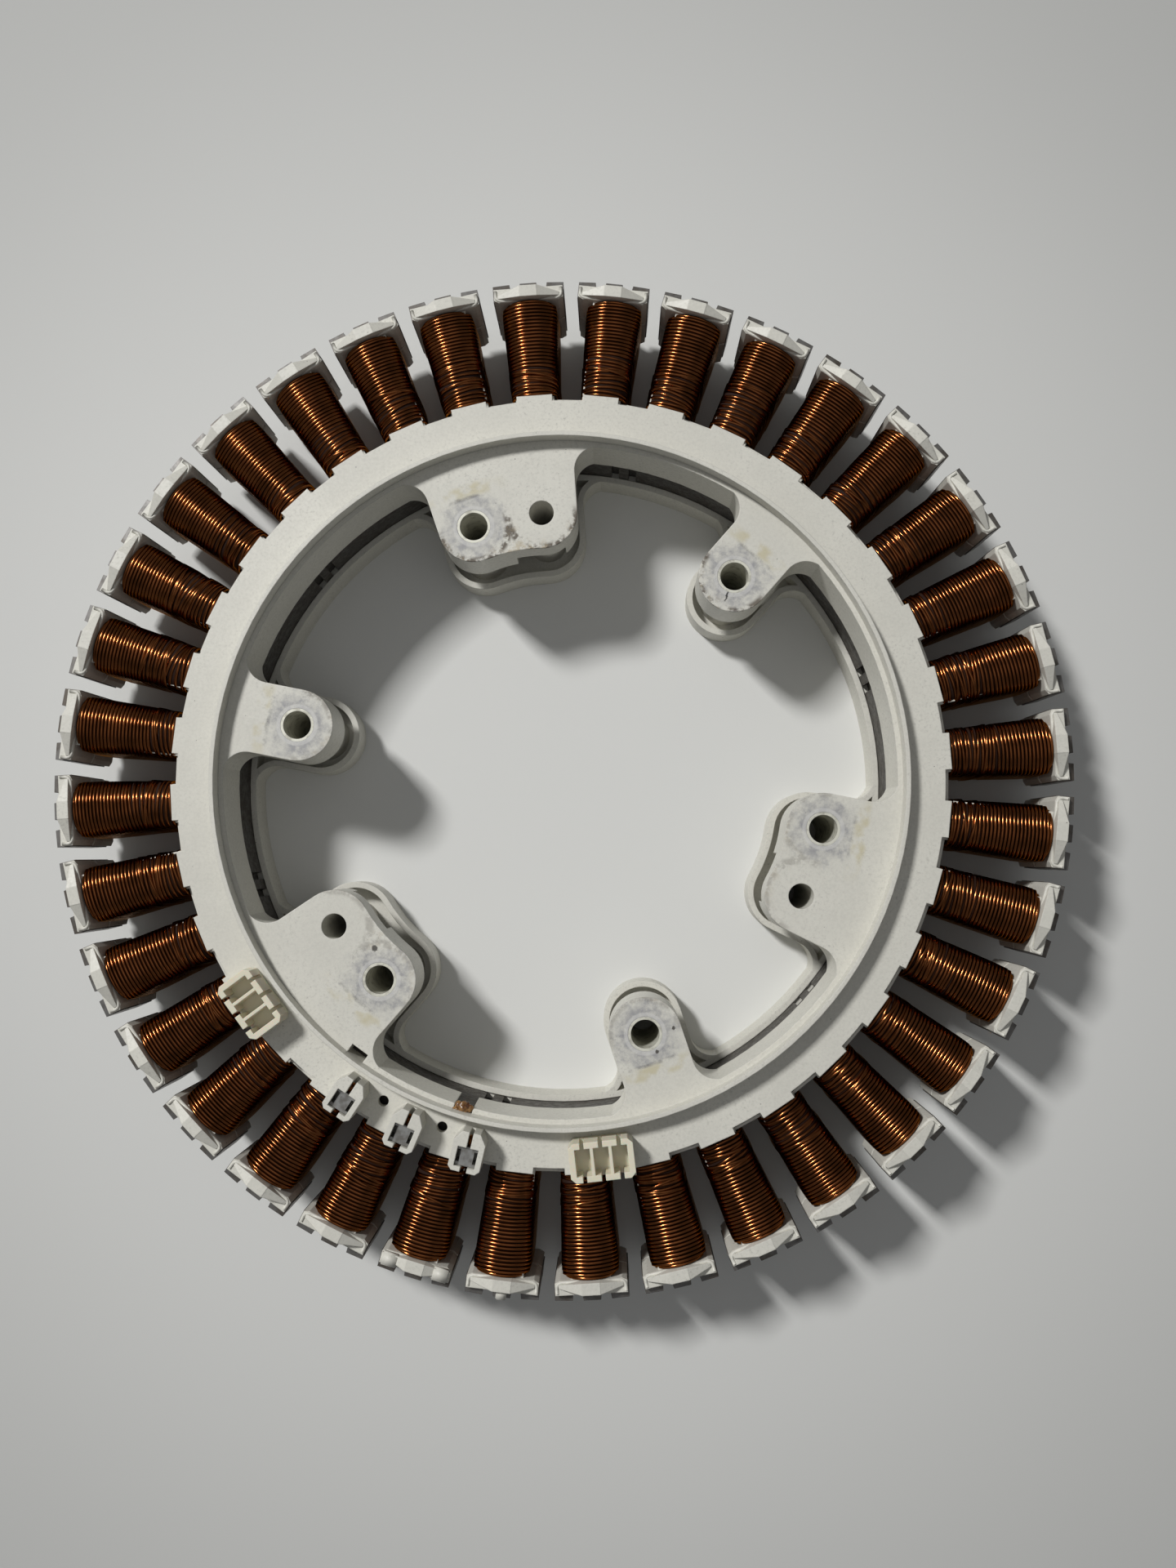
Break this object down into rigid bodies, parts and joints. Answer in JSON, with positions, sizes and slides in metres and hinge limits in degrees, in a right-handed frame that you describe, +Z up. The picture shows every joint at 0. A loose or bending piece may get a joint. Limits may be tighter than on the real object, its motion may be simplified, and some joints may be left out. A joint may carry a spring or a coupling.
{
  "type": "wound stator of a direct-drive motor",
  "caption": "Ring-shaped motor stator: a toothed laminated steel core between two moulded insulators, with a copper coil on each tooth, mounting lugs in the bore and connectors on top.",
  "frame": {"origin": "centre of the bore at the height of the resting face, the ends of the lower lugs", "axes": "+Z up along the stator's axis towards the connector side; +X through the middle of the first tooth"},
  "size_m": [0.265, 0.265, 0.04],
  "materials": {
    "core_steel": "satin",
    "insulator_plastic": "matte",
    "coil_copper": "gloss",
    "bush_steel": "satin",
    "terminal_tin": "satin",
    "housing_nylon": "gloss"
  },
  "bodies": {
    "root": {"core_stack": "core_steel", "upper_insulator": "insulator_plastic", "lower_insulator": "insulator_plastic", "coil_01": "coil_copper", "coil_02": "coil_copper", "coil_03": "coil_copper", "coil_04": "coil_copper", "coil_05": "coil_copper", "coil_06": "coil_copper", "coil_07": "coil_copper", "coil_08": "coil_copper", "coil_09": "coil_copper", "coil_10": "coil_copper", "coil_11": "coil_copper", "coil_12": "coil_copper", "coil_13": "coil_copper", "coil_14": "coil_copper", "coil_15": "coil_copper", "coil_16": "coil_copper", "coil_17": "coil_copper", "coil_18": "coil_copper", "coil_19": "coil_copper", "coil_20": "coil_copper", "coil_21": "coil_copper", "coil_22": "coil_copper", "coil_23": "coil_copper", "coil_24": "coil_copper", "coil_25": "coil_copper", "coil_26": "coil_copper", "coil_27": "coil_copper", "coil_28": "coil_copper", "coil_29": "coil_copper", "coil_30": "coil_copper", "coil_31": "coil_copper", "coil_32": "coil_copper", "coil_33": "coil_copper", "coil_34": "coil_copper", "coil_35": "coil_copper", "coil_36": "coil_copper", "upper_bush_1": "bush_steel", "upper_bush_2": "bush_steel", "upper_bush_3": "bush_steel", "upper_bush_4": "bush_steel", "upper_bush_5": "bush_steel", "upper_bush_6": "bush_steel", "lower_bush_1": "bush_steel", "lower_bush_2": "bush_steel", "lower_bush_3": "bush_steel", "lower_bush_4": "bush_steel", "lower_bush_5": "bush_steel", "lower_bush_6": "bush_steel", "winding_terminal_1": "terminal_tin", "winding_terminal_2": "terminal_tin", "winding_terminal_3": "terminal_tin", "sensor_housing": "housing_nylon", "power_housing": "housing_nylon"}
  },
  "joints": []
}
